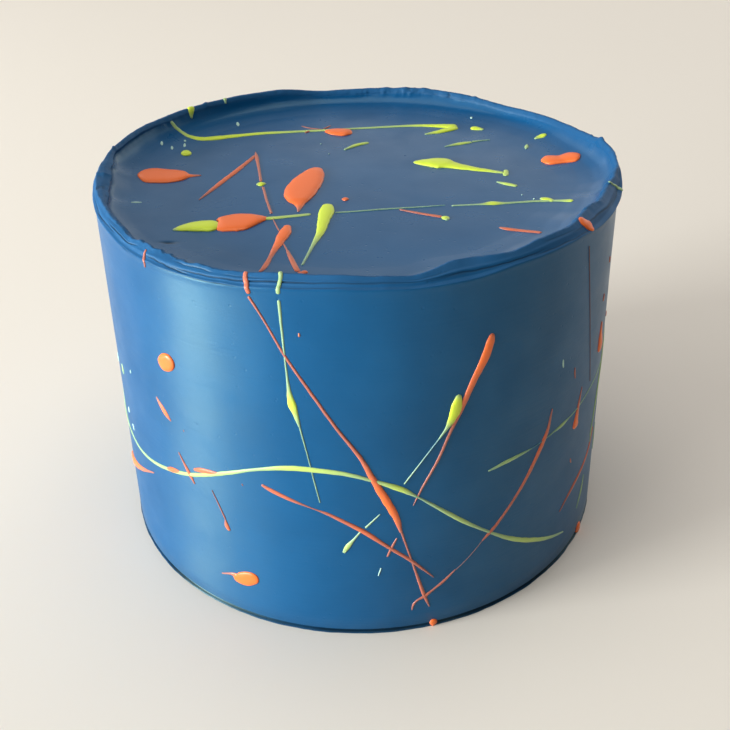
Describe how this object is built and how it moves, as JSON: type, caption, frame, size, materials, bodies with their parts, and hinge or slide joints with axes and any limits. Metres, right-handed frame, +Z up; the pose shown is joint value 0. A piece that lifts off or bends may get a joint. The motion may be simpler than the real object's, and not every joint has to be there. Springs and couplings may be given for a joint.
{
  "type": "birthday cake",
  "caption": "Tall round layer cake, uncut, with a smooth scraped buttercream coat, a ragged folded rim and thin icing flicked and dripped over it.",
  "frame": {"origin": "the middle of the flat underside that the cake stands on", "axes": "+Z up along the cake's axis; -Y is the front, as the picture shows it; +X to the right seen from the front"},
  "size_m": [0.1652, 0.1652, 0.1211],
  "materials": {
    "buttercream": "satin buttercream, deep blue",
    "orange_icing": "satin icing, coral orange",
    "lime_icing": "satin icing, lime green"
  },
  "bodies": {
    "root": {"cake": "buttercream"}
  },
  "joints": []
}
